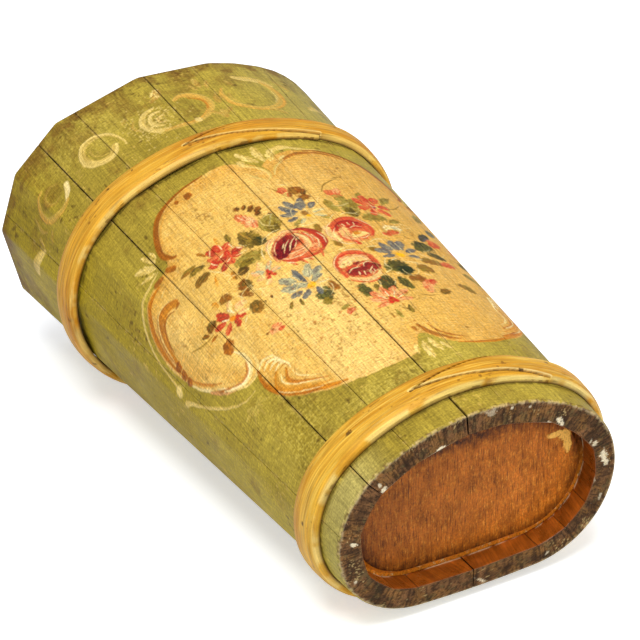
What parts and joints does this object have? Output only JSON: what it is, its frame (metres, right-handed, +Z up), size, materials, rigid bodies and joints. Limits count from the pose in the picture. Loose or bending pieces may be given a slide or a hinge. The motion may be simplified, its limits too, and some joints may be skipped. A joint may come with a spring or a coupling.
{
  "type": "coopered oval vessel",
  "caption": "Tall oval stave-built wooden vessel, wide at its open mouth, with a recessed base, two bent wooden hoops and a painted folk bouquet.",
  "frame": {"origin": "on the floor, under the middle of the vessel's box as it lies on its back with both hoops touching the floor", "axes": "+X towards the foot end, +Z up, which is the painted front; the mouth opens towards -X"},
  "size_m": [0.4092, 0.2364, 0.1791],
  "materials": {
    "painted_stave": "olive green oil paint with a cream and floral panel, worn, satin",
    "stained_base": "brown stain under varnish, semi-gloss",
    "bent_hoop": "pale bent wood, clear satin varnish",
    "dowel_wood": "bare"
  },
  "bodies": {
    "root": {"stave_01": "painted_stave", "stave_02": "painted_stave", "stave_03": "painted_stave", "stave_04": "painted_stave", "stave_05": "painted_stave", "stave_06": "painted_stave", "stave_07": "painted_stave", "stave_08": "painted_stave", "stave_09": "painted_stave", "stave_10": "painted_stave", "stave_11": "painted_stave", "stave_12": "painted_stave", "stave_13": "painted_stave", "stave_14": "painted_stave", "stave_15": "painted_stave", "base_board_wide": "stained_base", "base_board_narrow": "stained_base", "base_dowel_1": "dowel_wood", "base_dowel_2": "dowel_wood", "lower_hoop": "bent_hoop", "upper_hoop": "bent_hoop"}
  },
  "joints": []
}
